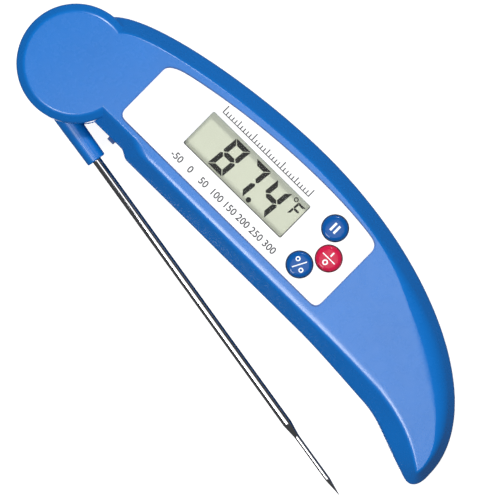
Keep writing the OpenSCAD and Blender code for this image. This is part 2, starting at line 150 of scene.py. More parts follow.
def bent(start, corner, end, n):
    """n + 1 points along the curve that rounds a corner from start to end."""
    start, corner, end = Vector(start), Vector(corner), Vector(end)
    shares = [i / n for i in range(n + 1)]
    return [start * (1 - t) ** 2 + corner * 2 * t * (1 - t) + end * t * t for t in shares]


def polar(radius, degrees):
    return Vector((radius * math.cos(math.radians(degrees)), radius * math.sin(math.radians(degrees))))


def mix(a, b, t):
    return a + (b - a) * t


# The casing's plan apart from its round head. Each stretch has the rim's curve, the ridge's
# curve, the number of steps, and how the flat front's roll and the ridge's softness change.
STRETCHES = [
    ([(4, -NOTCH_Y), (10, -NOTCH_Y), (17, -NOTCH_Y), (23.2, -NOTCH_Y)],
     [(4, -3.5), (10, -3.5), (17, -3.5), (23.6, -3.5)], 24, (0.7, 0.7), (1.7, 1.7)),
    ([(23.2, -NOTCH_Y), (24.9, -NOTCH_Y), (25.2, -EDGE_Y), (27.2, -EDGE_Y)],
     [(23.6, -3.5), (26, -3.5), (27.2, -RIDGE_Y), (31, -RIDGE_Y)], 16, (0.7, 2.6), (1.7, 0.9)),
    ([(27.2, -EDGE_Y), (48, -EDGE_Y), (69, -EDGE_Y), (90, -EDGE_Y)],
     [(31, -RIDGE_Y), (50, -RIDGE_Y - 0.1), (70, -RIDGE_Y - 0.1), (90, -RIDGE_Y + 0.1)],
     50, (2.6, 3.2), (0.9, 0.9)),
    ([(90, -EDGE_Y), (96.5, -EDGE_Y), (107, -EDGE_Y - 0.9), (114, -EDGE_Y - 1.35)],
     [(90, -RIDGE_Y + 0.1), (97.5, -RIDGE_Y + 0.2), (105, -RIDGE_Y), (114.5, -5.5)],
     24, (3.2, 2.6), (0.9, 0.8)),
    ([(114, -EDGE_Y - 1.35), (121, -EDGE_Y - 1.8), (123.5, -12.7), (135.7, -16.8)],
     [(114.5, -5.5), (122.5, -6.3), (129.5, -8.2), (136.2, -13.2)], 30, (2.6, 0.9), (0.8, 0.5)),
    ([(135.7, -16.8), (138.9, -17.9), (TAIL_X + 0.3, -15.4), (TAIL_X, -11.6)],
     [(136.2, -13.2), (136.9, -13.8), (137.4, -13.2), (137.3, -12)], 24, (0.9, 0.6), (0.5, 1.2)),
    ([(TAIL_X, -11.6), (TAIL_X, 10.4), (104.5, CROWN_Y), (62.4, CROWN_Y)],
     [(137.3, -12), (137.2, 9), (101, 24.8), (62.4, 24.7)], 90, (0.6, 0.5), (1.2, 1.9)),
    ([(62.4, CROWN_Y), (39.5, CROWN_Y), (5.7, 23.3), tuple(polar(HEAD_R, 97))],
     [(62.4, 24.7), (40, 24.4), (8, 19.5), tuple(polar(HEAD_RIDGE_R, 80))], 70, (0.5, 0.5), (1.9, 0.9)),
    ([tuple(polar(HEAD_R, 97)), (-7, 10), (-7, -NOTCH_Y), (4, -NOTCH_Y)],
     [tuple(polar(HEAD_RIDGE_R, 80)), (-3.4, 7), (-3.4, -3.5), (4, -3.5)], 24, (0.5, 0.7), (0.9, 1.7)),
]
OUTER_BOW = 6            # index of the stretch along the tail's outer bow
TAIL_ROLL = 4.2          # extra roll of the flat front in the middle of the tail's outer bow
TAIL_SOFT = 1.3          # extra softness of the ridge there


class Station:
    """One place round the casing's plan: rim point, ridge point, roll and softness."""

    def __init__(self, rim, ridge, roll, soft):
        self.rim = rim
        self.width = (ridge - rim).length
        self.inward = (ridge - rim) / self.width
        self.roll = roll
        self.soft = soft

    def at(self, depth, height):
        p = self.rim + self.inward * depth
        return Vector((p.x, p.y, height))


def stations():
    found = []
    for i, (rim, ridge, n, roll, soft) in enumerate(STRETCHES):
        for k, (r, c) in enumerate(list(zip(cubic(rim, n), cubic(ridge, n)))[:-1]):
            t = k / n
            swell = math.sin(math.pi * min(1, t / 0.8)) ** 2 if i == OUTER_BOW else 0
            found.append(Station(r, c, mix(*roll, t) + TAIL_ROLL * swell, mix(*soft, t) + TAIL_SOFT * swell))
    return found


def front_profile(width, edge_z, roll, soft, edge_round=0.9):
    """(depth inward, height) pairs from the parting plane up the border to the flat front."""
    ridge_z = CASE_H - ROLL_TILT * roll / 2
    slope = Vector((width, ridge_z - edge_z)).normalized()
    ridge = Vector((width, ridge_z))
    onto = min(soft, 0.8 * roll)

    def roll_z(depth):
        return CASE_H - ROLL_TILT * roll / 2 * ((width + roll - depth) / roll) ** 2

    points = [Vector((SEAM, PARTING_Z)), Vector((0, PARTING_Z + SEAM))]
    points += bent((0, edge_z - edge_round), (0, edge_z), slope * edge_round + Vector((0, edge_z)), 4)
    points += bent(ridge - slope * soft, ridge, (width + onto, roll_z(width + onto)), 8)
    for i in range(1, 7):
        depth = width + mix(onto, roll, i / 6)
        points.append(Vector((depth, roll_z(depth))))
    return points


def back_profile():
    """(depth inward, height) pairs from the back plane up to the parting plane."""
    points = []
    for i in range(9):
        a = math.radians(90 - 90 * i / 8)
        points.append(Vector((BACK_ROUND * (1 - math.cos(a)), BACK_ROUND * (1 - math.sin(a)))))
    return points + [Vector((0, PARTING_Z - SEAM)), Vector((SEAM, PARTING_Z))]


# ---- Solids, in millimetres ----

def solid(name, build):
    """An unplaced object whose mesh build() fills, with its faces turned outwards."""
    bm = bmesh.new()
    build(bm)
    bmesh.ops.recalc_face_normals(bm, faces=bm.faces)
    mesh = bpy.data.meshes.new(name)
    bm.to_mesh(mesh)
    bm.free()
    made = bpy.data.objects.new(name, mesh)
    bpy.context.scene.collection.objects.link(made)
    return made


def loft(name, rings):
    """Closed solid through equal rings of points."""
    def build(bm):
        rows = [[bm.verts.new(p) for p in ring] for ring in rings]
        for low, high in zip(rows, rows[1:]):
            for i in range(len(low)):
                k = (i + 1) % len(low)
                bm.faces.new((low[i], low[k], high[k], high[i]))
        bm.faces.new(rows[0][::-1])
        bm.faces.new(rows[-1])
    return solid(name, build)


def lathe(name, profile, sides=64, place=Matrix.Identity(4)):
    """Closed solid spun about Z. The profile's first and last points are on the axis."""
    def build(bm):
        first = bm.verts.new(place @ Vector((0, 0, profile[0][1])))
        last = bm.verts.new(place @ Vector((0, 0, profile[-1][1])))
        rows = []
        for radius, height in profile[1:-1]:
            points = [polar(radius, 360 * i / sides) for i in range(sides)]
            rows.append([bm.verts.new(place @ Vector((p.x, p.y, height))) for p in points])
        for i in range(sides):
            k = (i + 1) % sides
            bm.faces.new((first, rows[0][k], rows[0][i]))
            bm.faces.new((last, rows[-1][i], rows[-1][k]))
            for low, high in zip(rows, rows[1:]):
                bm.faces.new((low[i], low[k], high[k], high[i]))
    return solid(name, build)


def pillar(name, at, z0, z1, radius, sides=48, chamfer=0.0):
    """Upright round bar; chamfer widens its upper end, or narrows it when negative."""
    edge = [(radius, z1 - abs(chamfer)), (radius + chamfer, z1)] if chamfer else [(radius, z1)]
    profile = [(0, z0), (radius, z0)] + edge + [(0, z1)]
    return lathe(name, profile, sides, Matrix.Translation((at[0], at[1], 0)))


def lift(outline, z):
    return [Vector((p[0], p[1], z)) for p in outline]


def inset(outline, d):
    """Anticlockwise outline moved inwards by d."""
    moved = []
    for i, p in enumerate(outline):
        before = (p - outline[i - 1]).normalized()
        after = (outline[(i + 1) % len(outline)] - p).normalized()
        along = (before + after).normalized()
        moved.append(p + Vector((-along.y, along.x)) * d / max(0.7, before.dot(along)))
    return moved


def rounded(corners, radius, n=6):
    """Outline through corners, each softened over radius."""
    outline = []
    for i, p in enumerate(corners):
        p, before, after = Vector(p), Vector(corners[i - 1]), Vector(corners[(i + 1) % len(corners)])
        outline += bent(p + (before - p).normalized() * radius, p, p + (after - p).normalized() * radius, n)
    return outline


def rectangle(low, high, radius=0.0):
    corners = [(low[0], low[1]), (high[0], low[1]), (high[0], high[1]), (low[0], high[1])]
    return rounded(corners, radius) if radius else [Vector(c) for c in corners]


def slab(name, outline, z0, z1, chamfer=0.0, low_chamfer=0.0):
    """Upright plate of an outline, with chamfered upper and lower edges."""
    rings = [lift(outline, z0 + low_chamfer), lift(outline, z1 - chamfer)]
    if low_chamfer:
        rings.insert(0, lift(inset(outline, low_chamfer), z0))
    if chamfer:
        rings.append(lift(inset(outline, chamfer), z1))
    return loft(name, rings)


def brick(name, low, high, chamfer=0.0, place=Matrix.Identity(4)):
    """Box between two corners with chamfered edges all round."""
    made = slab(name, rectangle(low, high, 0), low[2], high[2])
    if chamfer:
        bm = bmesh.new()
        bm.from_mesh(made.data)
        bmesh.ops.bevel(bm, geom=bm.edges, offset=chamfer, segments=2, affect="EDGES", profile=0.6)
        bm.to_mesh(made.data)
        bm.free()
    made.data.transform(place)
    return made


# Solids whose booleans take the quick solver, which keeps large shells closed
QUICK = ("body_front", "front_casing", "body_back", "rear_casing", "rear_room")


def combine(target, operation, tools):
    """Boolean of target with each tool, which is used up."""
    solver = "MANIFOLD" if target.name in QUICK else "EXACT"
    for tool in tools:
        step = target.modifiers.new(operation, "BOOLEAN")
        step.operation = operation
        step.solver = solver
        step.object = tool
        graph = bpy.context.evaluated_depsgraph_get()
        mesh = bpy.data.meshes.new_from_object(target.evaluated_get(graph))
        target.modifiers.clear()
        target.data = mesh
        bpy.data.objects.remove(tool)
    return target


def cut(target, *tools):
    return combine(target, "DIFFERENCE", tools)


def unite(target, *tools):
    return combine(target, "UNION", tools)


def in_bay():
    return Matrix.Translation(BAY_ORIGIN) @ Matrix((
        (BAY_X.x, BAY_Y.x, 0, 0), (BAY_X.y, BAY_Y.y, 0, 0), (0, 0, 1, 0), (0, 0, 0, 1)))


def along_probe():
    """Turns a lathe's Z to the probe's axis, with its origin at the foot of the pivot's offset."""
    foot = -probe_side * PROBE_OFFSET + Vector((0, 0, PARTING_Z))
    up = Vector((0, 0, 1))
    return Matrix.Translation(foot) @ Matrix((
        (up.x, probe_side.x, probe_axis.x, 0), (up.y, probe_side.y, probe_axis.y, 0),
        (up.z, probe_side.z, probe_axis.z, 0), (0, 0, 0, 1)))


# ---- Finishing a piece ----

def shade(made, sharp_degrees):
    """Smooth shading that keeps edges sharper than the angle, weighted so that flats stay flat."""
    bm = bmesh.new()
    bm.from_mesh(made.data)
    for face in bm.faces:
        face.smooth = True
    for edge in bm.edges:
        edge.smooth = len(edge.link_faces) == 2 and edge.calc_face_angle() < math.radians(sharp_degrees)
    bm.to_mesh(made.data)
    bm.free()
    weighted = made.modifiers.new("weighted_normals", "WEIGHTED_NORMAL")
    weighted.keep_sharp = True


def place(made, body, slot, material, stands_for=None, sharp_degrees=30):
    """Turns a solid in millimetres into a finished piece of the object."""
    made.data.transform(Matrix.Scale(MM, 4))
    shade(made, sharp_degrees)
    made.data.materials.clear()
    made.data.materials.append(material)
    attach(made, body)
    if stands_for:
        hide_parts(stands_for)
    return made


# ---- Materials ----

def new_material(name, roughness=0.4, metallic=0.0, **sockets):
    """Node material with a Principled shader whose plain values are set on its own sockets."""
    material = bpy.data.materials.new(name)
    material.use_nodes = True
    shader = material.node_tree.nodes["Principled BSDF"]
    shader.inputs["Roughness"].default_value = roughness
    shader.inputs["Metallic"].default_value = metallic
    for socket, value in sockets.items():
        shader.inputs[socket.replace("_", " ")].default_value = value
    return material, shader


def add(material, kind, **values):
    node = material.node_tree.nodes.new(kind)
    for key, value in values.items():
        setattr(node, key, value)
    return node


def link(material, out, into):
    material.node_tree.links.new(out, into)


def coordinates(material, scale=(1, 1, 1)):
    """Object coordinates in millimetres, stretched by scale."""
    source = add(material, "ShaderNodeTexCoord")
    mapping = add(material, "ShaderNodeMapping")
    mapping.inputs["Scale"].default_value = [s / MM for s in scale]
    link(material, source.outputs["Object"], mapping.inputs["Vector"])
    return mapping.outputs["Vector"]


def noise(material, vector, scale, detail=3.0, rough=0.55):
    node = add(material, "ShaderNodeTexNoise")
    node.inputs["Scale"].default_value = scale
    node.inputs["Detail"].default_value = detail
    node.inputs["Roughness"].default_value = rough
    link(material, vector, node.inputs["Vector"])
    return node.outputs["Fac"]


def ramp(material, value, stops):
    """Colour ramp; stops are (position, colour) pairs."""
    node = add(material, "ShaderNodeValToRGB")
    elements = node.color_ramp.elements
    while len(elements) < len(stops):
        elements.new(0.5)
    for element, (position, colour) in zip(elements, stops):
        element.position = position
        element.color = (*colour, 1)
    link(material, value, node.inputs["Fac"])
    return node.outputs["Color"]


def spread(material, value, low, high):
    """Maps a 0 to 1 value onto low to high."""
    node = add(material, "ShaderNodeMapRange")
    node.inputs["To Min"].default_value = low
    node.inputs["To Max"].default_value = high
    link(material, value, node.inputs["Value"])
    return node.outputs["Result"]


def bump(material, shader, height, depth_mm, strength=1.0):
    node = add(material, "ShaderNodeBump")
    node.inputs["Strength"].default_value = strength
    node.inputs["Distance"].default_value = depth_mm * MM
    link(material, height, node.inputs["Height"])
    link(material, node.outputs["Normal"], shader.inputs["Normal"])


def tint(colour, share):
    return tuple(min(1, c * share) for c in colour)


def plastic(name, colour, roughness, grain=6.0, grain_depth=0.004, mottle=0.06, **sockets):
    """Moulded plastic: spark-eroded grain, slight mottling and rubbed patches in the gloss."""
    material, shader = new_material(name, roughness, **sockets)
    vector = coordinates(material)
    clouds = noise(material, vector, 0.09, 4)
    link(material, ramp(material, clouds, [(0.3, tint(colour, 1 - mottle)), (0.7, tint(colour, 1 + mottle))]),
         shader.inputs["Base Color"])
    rubbed = noise(material, vector, 0.35, 5, 0.65)
    link(material, spread(material, rubbed, roughness - 0.05, roughness + 0.05), shader.inputs["Roughness"])
    bump(material, shader, noise(material, vector, grain, 2), grain_depth)
    return material


def metal(name, colour, roughness, stretch=(1, 1, 1), scratch=0.0015, **sockets):
    """Drawn or plated metal with fine lines along one direction."""
    material, shader = new_material(name, roughness, 1.0, **sockets)
    vector = coordinates(material, stretch)
    lines = noise(material, vector, 5.0, 4, 0.6)
    link(material, ramp(material, lines, [(0.25, tint(colour, 0.88)), (0.75, tint(colour, 1.06))]),
         shader.inputs["Base Color"])
    link(material, spread(material, lines, roughness * 0.7, roughness * 1.3), shader.inputs["Roughness"])
    bump(material, shader, lines, scratch)
    return material


def clear_plastic():
    """Thin clear window with a faint haze."""
    material, shader = new_material("window_clear", 0.05, Alpha=0.04, IOR=1.49)
    vector = coordinates(material)
    haze = noise(material, vector, 0.3, 4)
    link(material, ramp(material, haze, [(0.2, (0.2, 0.21, 0.2)), (0.8, (0.3, 0.31, 0.3))]),
         shader.inputs["Base Color"])
    link(material, spread(material, haze, 0.03, 0.08), shader.inputs["Roughness"])
    return material


def striped(name, light, dark, pitch, direction, roughness):
    """Fine parallel layers, as in a conductive rubber strip."""
    material, shader = new_material(name, roughness)
    vector = coordinates(material)
    wave = add(material, "ShaderNodeTexWave", bands_direction=direction)
    wave.inputs["Scale"].default_value = 0.3 / pitch
    link(material, vector, wave.inputs["Vector"])
    layers = ramp(material, wave.outputs["Fac"], [(0.35, dark), (0.65, light)])
    link(material, layers, shader.inputs["Base Color"])
    bump(material, shader, wave.outputs["Fac"], 0.01)
    return material


def circuit():
    """Green solder mask with paler copper traces under it."""
    material, shader = new_material("board_green", 0.3, Coat_Weight=0.4)
    vector = coordinates(material)
    cells = add(material, "ShaderNodeTexVoronoi", distance="CHEBYCHEV", feature="F1")
    cells.inputs["Scale"].default_value = 0.45
    link(material, vector, cells.inputs["Vector"])
    mask, trace = (0.01, 0.12, 0.05), (0.03, 0.24, 0.1)
    tracks = [(0.3, mask), (0.34, trace), (0.42, trace), (0.46, mask)]
    link(material, ramp(material, cells.outputs["Distance"], tracks), shader.inputs["Base Color"])
    bump(material, shader, cells.outputs["Distance"], 0.02)
    return material


CASING_BLUE = (0.001, 0.14, 0.5)
casing_blue = plastic("casing_blue", CASING_BLUE, 0.27, grain=5.0, grain_depth=0.0022, mottle=0.035)
hub_blue = plastic("hub_blue", tint(CASING_BLUE, 0.96), 0.28, grain=5.0, grain_depth=0.0022, mottle=0.04)
panel_white = plastic("panel_white", (0.86, 0.86, 0.87), 0.28, grain=9.0, grain_depth=0.0008, mottle=0.012)
print_grey = plastic("print_grey", (0.02, 0.02, 0.024), 0.5, grain=9.0, grain_depth=0.001, mottle=0.2)
print_white = plastic("print_white", (0.86, 0.88, 0.9), 0.4, grain=9.0, grain_depth=0.001, mottle=0.03)
# Black for the strips of painted shadow along the window's lower and right edges
window_painted_shadow_black = plastic("window_painted_shadow_black", (0.012, 0.013, 0.014), 0.4, mottle=0.2)
button_blue = plastic("button_blue", (0.002, 0.075, 0.3), 0.14, grain_depth=0.0004, Specular_IOR_Level=0.16)
button_red = plastic("button_red", (0.52, 0.01, 0.055), 0.14, grain_depth=0.0004, Specular_IOR_Level=0.16)
window_clear = clear_plastic()
lcd_film = plastic("lcd_film", (0.55, 0.58, 0.45), 0.42, grain=12.0, grain_depth=0.001, mottle=0.03)
lcd_ink = plastic("lcd_ink", (0.006, 0.006, 0.005), 0.6, Specular_IOR_Level=0.1, grain=12.0,
                  grain_depth=0.001, mottle=0.25)
lcd_glass = plastic("lcd_glass", (0.45, 0.5, 0.46), 0.1, grain_depth=0.0003, mottle=0.05, Coat_Weight=1.0)
lcd_backing = metal("lcd_backing", (0.72, 0.74, 0.72), 0.35, (0.05, 1, 1))
frame_white = plastic("frame_white", (0.8, 0.8, 0.77), 0.45)
zebra = striped("contact_rubber", (0.5, 0.32, 0.3), (0.02, 0.02, 0.02), 0.18, "X", 0.6)
board_green = circuit()
epoxy_black = plastic("epoxy_black", (0.012, 0.012, 0.012), 0.25, grain=1.5, grain_depth=0.02, mottle=0.2)
ceramic_tan = plastic("ceramic_tan", (0.5, 0.36, 0.22), 0.5, grain=8.0, grain_depth=0.005)
switch_black = plastic("switch_black", (0.03, 0.03, 0.032), 0.5, mottle=0.15)
steel_bright = metal("steel_bright", (0.36, 0.36, 0.37), 0.07, (0.03, 1, 1))
screw_steel = metal("screw_steel", (0.62, 0.62, 0.6), 0.22, scratch=0.003)
contact_nickel = metal("contact_nickel", (0.7, 0.69, 0.63), 0.2, scratch=0.002)
cell_wrap = plastic("cell_wrap", (0.62, 0.2, 0.03), 0.22, grain_depth=0.0008, mottle=0.05, Coat_Weight=0.6)
cell_black = plastic("cell_black", (0.012, 0.012, 0.013), 0.22, grain_depth=0.0008, mottle=0.1,
                     Coat_Weight=0.6)
wire_red = plastic("wire_red", (0.5, 0.012, 0.012), 0.35)
wire_black = plastic("wire_black", (0.02, 0.02, 0.02), 0.35, mottle=0.15)
nylon = plastic("nylon_natural", (0.78, 0.75, 0.64), 0.45)
rubber_blue = plastic("rubber_blue", (0.006, 0.05, 0.2), 0.6, grain=8.0, grain_depth=0.01, mottle=0.3)
sensor_black = plastic("sensor_black", (0.02, 0.02, 0.02), 0.3, mottle=0.2)
lead_brown = plastic("lead_brown", (0.22, 0.07, 0.02), 0.35, mottle=0.12)
epoxy_grey = plastic("epoxy_grey", (0.3, 0.3, 0.3), 0.5, mottle=0.12)


# ---- Casing ----

PLAN = stations()


def body_front():
    rings = [front_profile(s.width, BODY_EDGE_Z, s.roll, s.soft) for s in PLAN]
    levels = range(len(rings[0]))
    return loft("body_front", [[s.at(*ring[k]) for s, ring in zip(PLAN, rings)] for k in levels])


def body_back():
    return loft("body_back", [[s.at(*point) for s in PLAN] for point in back_profile()])


def head_front():
    profile = front_profile(HEAD_R - HEAD_RIDGE_R, HEAD_EDGE_Z, 0.6, 0.55, 0.7)
    turned = [(HEAD_R - d, z) for d, z in profile]
    return lathe("head_front", [(0, PARTING_Z)] + turned + [(0, CASE_H)], 180)


def head_back():
    turned = [(HEAD_R - d, z) for d, z in back_profile()]
    return lathe("head_back", [(0, 0)] + turned + [(0, PARTING_Z)], 180)


def body_hollow(z0, z1, depth, cut_x=131):
    """Room inside the body between two heights, that far in from the rim."""
    outline = [s.rim + s.inward * depth for s in PLAN[::3]]
    return cut(loft("hollow", [lift(outline, z0), lift(outline, z1)]),
               brick("hollow_end", (cut_x, -40, z0 - 1), (TAIL_X + 20, 40, z1 + 1)))


def neck_wall(z0, z1):
    """Wall between the hub chamber and the hollow."""
    outer = [polar(CHAMBER_R + NECK_WALL, -27 + 117 * i / 40) for i in range(41)]
    inner = [polar(CHAMBER_R - 0.01, 90 - 120 * i / 40) for i in range(41)]
    return slab("neck", outer + inner, z0, z1)


def hub_chamber():
    """Round room for the hub and the opening round the head that its collar swings in."""
    z0 = hub_low.z - CHAMBER_GAP
    z1 = hub_high.z + CHAMBER_GAP
    stop = 360 - math.degrees(math.asin(NOTCH_Y / HEAD_R))
    mouth = [Vector((0, 0)), polar(22, 98), Vector((-24, 24)), Vector((-24, -24)),
             Vector((24 * math.cos(math.radians(stop)), -24)), polar(22, stop)]
    return unite(pillar("chamber", (0, 0), z0, z1, CHAMBER_R, 180), slab("mouth", mouth, z0, z1))


def probe_slot():
    """Open-sided slot along the tail that shelters the folded tube."""
    half = 1.7
    low = (86, -25, PARTING_Z - half)
    return brick("probe_slot", low, (133, -EDGE_Y - 0.05, PARTING_Z + half))


def panel_outline(grow):
    low, high = panel_low - Vector((grow, grow, 0)), panel_high + Vector((grow, grow, 0))
    top = [(high.x, 21 + grow), (76, 23.7 + grow), (46, 24 + grow), (low.x, 16.9 + grow)]
    bow = cubic(top, 60)
    inner = bow[4:57]
    return (bent((low.x, low.y + 2.3), (low.x, low.y), (low.x + 2.3, low.y), 8)
            + bent((high.x - 2.3, low.y), (high.x, low.y), (high.x, low.y + 2.3), 8)
            + bent((high.x, 18.7 + grow), (high.x, 21 + grow), inner[0], 8)[:-1] + inner
            + bent(inner[-1], (low.x, 16.9 + grow), (low.x, 14.6 + grow), 8)[1:])


def key_centre(node):
    low, high = span(node)
    return (low + high) / 2


def front_shell():
    shell = unite(body_front(), head_front())
    shell.name = "front_casing"
    room = unite(body_hollow(PARTING_Z - 1, 13.6, WALL), body_hollow(13.5, 15.6, WALL + 1.5),
                 body_hollow(15.5, ROOF_Z, WALL + 3.4), pillar("head_room", (0, 0), 12.7, ROOF_Z, 13))
    cut(room, neck_wall(PARTING_Z - 2, 13.4), pillar("pivot_cap", (0, 0), 13, CASE_H, 4.4))
    cut(room, *[pillar("boss", p, PARTING_Z - 2, CASE_H, 2.2) for p in CASE_SCREWS])
    cut(room, *[pillar("boss", p, 13.8, CASE_H, 1.9) for p in BOARD_SCREWS])
    low, high = span("fold_bumper")
    grow = Vector((0.1, 0.1, 0))
    unite(room, hub_chamber(), slab("recess", panel_outline(PANEL_GAP), PANEL_FLOOR_Z, CASE_H + 2),
          slab("lens_seat", rectangle(lens_low - grow, lens_high + grow, 0.8), lens_low.z, CASE_H + 1),
          slab("view", rectangle(WINDOW_LOW, WINDOW_HIGH, 0.5), ROOF_Z - 1, CASE_H + 1), probe_slot(),
          brick("bumper_seat", low - Vector((0.02, 1, 0.02)), high + Vector((0.02, 0.02, 0.02))),
          *[pillar("key_hole", key_centre(n), ROOF_Z - 1, CASE_H + 2, KEY_HOLE_R, 72) for n in KEYS.values()],
          *[pillar("pilot", p, PARTING_Z - 1, 15.5, 1.02, 24) for p in CASE_SCREWS])
    cut(shell, room)
    cut(shell, *[pillar("pilot", p, 13.2, 16.8, 0.77, 24) for p in BOARD_SCREWS])
    unite(shell, pillar("pivot_plug", (0, 0), 9, 13.9, 2.9))
    return place(shell, "casing", "casing_blue", casing_blue, "front_shell", 24)


def rear_shell():
    shell = unite(body_back(), head_back())
    shell.name = "rear_casing"
    room = body_hollow(WALL, PARTING_Z + 1, WALL)
    room.name = "rear_room"
    unite(room, pillar("head_room", (0, 0), WALL, 7, 13.6, 96))
    bay = in_bay()
    half = BAY_W / 2
    cut(room, neck_wall(0, PARTING_Z + 2), pillar("seat", (0, 0), 0, 5.8, 8.5))
    wall_low, wall_high = (-1.23, -half - 1.23, 0), (BAY_L + 1.17, half + 1.23, PARTING_Z - 0.2)
    cut(room, brick("bay_walls", wall_low, wall_high, place=bay))
    cut(room, *[pillar("boss", p, 0, PARTING_Z + 2, 3.1) for p in CASE_SCREWS])
    rim = rectangle((0, -half), (BAY_L, half))
    bevel = loft("bay_bevel", [lift(inset(rim, -0.5), -0.2), lift(inset(rim, 0.02), 0.32)])
    bevel.data.transform(bay)
    unite(room, hub_chamber(), probe_slot(),
          brick("bay", (0, -half, -1), (BAY_L, half, 12), place=bay), bevel,
          *[brick("catch", (-1.4, y - 1.2, WALL + 0.05), (0.1, y + 1.2, 3.6), place=bay) for y in (-5, 5)],
          *[pillar("counterbore", p, -1, 3, 2.5) for p in CASE_SCREWS],
          *[pillar("screw_way", p, 2, 11, 1.15, 24) for p in CASE_SCREWS])
    cut(shell, room)
    pivot = pillar("pivot", (0, 0), 4, 12.9, 4.5, chamfer=-0.3)
    unite(shell, cut(pivot, pillar("socket", (0, 0), 8.8, 14, 3)))
    return place(shell, "casing", "casing_blue", casing_blue, "rear_shell", 24)


def battery_door():
    half = BAY_W / 2 - DOOR_GAP
    end = BAY_L - DOOR_GAP
    plate = slab("battery_hatch", rectangle((DOOR_GAP, -half), (end, half), 0.4), 0, DOOR_T, low_chamfer=0.25)
    ribs = []
    for i in range(4):
        x = BAY_L - 7.65 + 1.4 * i
        ribs.append(lathe("groove", [(0, -4), (0.42, -4), (0.42, 4), (0, 4)], 24,
                          Matrix.Translation((x, 0, 0)) @ Matrix.Rotation(math.pi / 2, 4, "X")))
    cut(plate, *ribs)
    for y in (-5, 5):
        unite(plate, brick("tab_foot", (DOOR_GAP + 0.02, y - 1, DOOR_T - 0.2), (1.6, y + 1, 2.9)),
              brick("tab", (-1.1, y - 1, 2), (0.5, y + 1, 2.9)))
    unite(plate, brick("tongue", (BAY_L - 0.7, -3, DOOR_T - 0.2), (BAY_L - 0.25, 3, 3.5)))
    plate.data.transform(in_bay())
    return place(plate, "battery_cover", "casing_blue", casing_blue, "battery_door", 24)


def bumper():
    low, high = span("fold_bumper")
    pad = brick("collar_stop", low, high, 0.25)
    return place(pad, "casing", "rubber_black", rubber_blue, "fold_bumper", 40)


def casing_screws():
    """Four pan heads with a cross recess, each on its threaded shank."""
    low, high = span("casing_screws")
    head_top = low.z + 1.8
    made = None
    for p in CASE_SCREWS:
        head = [(0, low.z), (1.5, low.z), (2.0, low.z + 0.25), (2.2, low.z + 0.7), (2.2, head_top)]
        thread = []
        turns = 18
        for i in range(turns):
            z = head_top + (high.z - 0.8 - head_top) * i / turns
            step = (high.z - 0.8 - head_top) / turns
            thread += [(0.78, z + 0.02), (1.0, z + step * 0.5)]
        profile = head + thread + [(0.5, high.z - 0.3), (0, high.z)]
        screw = lathe("screw", profile, 32, Matrix.Translation((*p, 0)))
        for angle in (0.4, 0.4 + math.pi / 2):
            turn = Matrix.Translation((*p, 0)) @ Matrix.Rotation(angle, 4, "Z")
            cut(screw, brick("cross", (-1.3, -0.25, low.z - 1), (1.3, 0.25, low.z + 0.9), place=turn))
        made = unite(made, screw) if made else screw
    made.name = "casing_fixings"
    return place(made, "casing", "screw_steel", screw_steel, "casing_screws", 35)


# ---- Panel and display ----

def overlay_panel():
    plate = slab("front_panel", panel_outline(0), panel_low.z, panel_high.z, chamfer=0.12)
    cut(plate, slab("view", rectangle(WINDOW_LOW, WINDOW_HIGH, 0.5), panel_low.z - 1, panel_high.z + 1))
    cut(plate, *[pillar("key_hole", key_centre(n), panel_low.z - 1, panel_high.z + 1, KEY_HOLE_R, 72)
                 for n in KEYS.values()])
    return place(plate, "casing", "panel_white", panel_white, "overlay_panel", 30)


def window_lens():
    outline = rectangle(lens_low, lens_high, 0.7)
    lens = slab("display_lens", outline, lens_low.z, lens_high.z, chamfer=0.1, low_chamfer=0.1)
    return place(lens, "casing", "window_clear", window_clear, "display_window", 30)


def thin(name, outlines, z, thickness=0.03):
    """Flat printed shapes of one thickness."""
    def build(bm):
        for outline in outlines:
            low = [bm.verts.new((p[0], p[1], z)) for p in outline]
            high = [bm.verts.new((p[0], p[1], z + thickness)) for p in outline]
            bm.faces.new(low[::-1])
            bm.faces.new(high)
            for i in range(len(low)):
                k = (i + 1) % len(low)
                bm.faces.new((low[i], low[k], high[k], high[i]))
    return solid(name, build)


def bar(start, end, width):
    """Outline of a straight stroke."""
    start, end = Vector(start), Vector(end)
    side = (end - start).normalized() * width / 2
    side = Vector((-side.y, side.x))
    return [start - side, end - side, end + side, start + side]


def hoop(centre, radius, width, n):
    """Outlines of short pieces that make a round stroke."""
    pieces = []
    for i in range(n):
        a, b = (360 * (i + k) / n for k in (0, 1))
        inner, outer = radius - width / 2, radius + width / 2
        pieces.append([Vector(centre) + polar(inner, a), Vector(centre) + polar(outer, a),
                       Vector(centre) + polar(outer, b), Vector(centre) + polar(inner, b)])
    return pieces


def disc(centre, radius, n=28):
    return [Vector(centre) + polar(radius, 360 * i / n) for i in range(n)]


SEGMENTS = {"8": "abcdefg", "7": "abc", "4": "bcfg", "F": "aefg"}


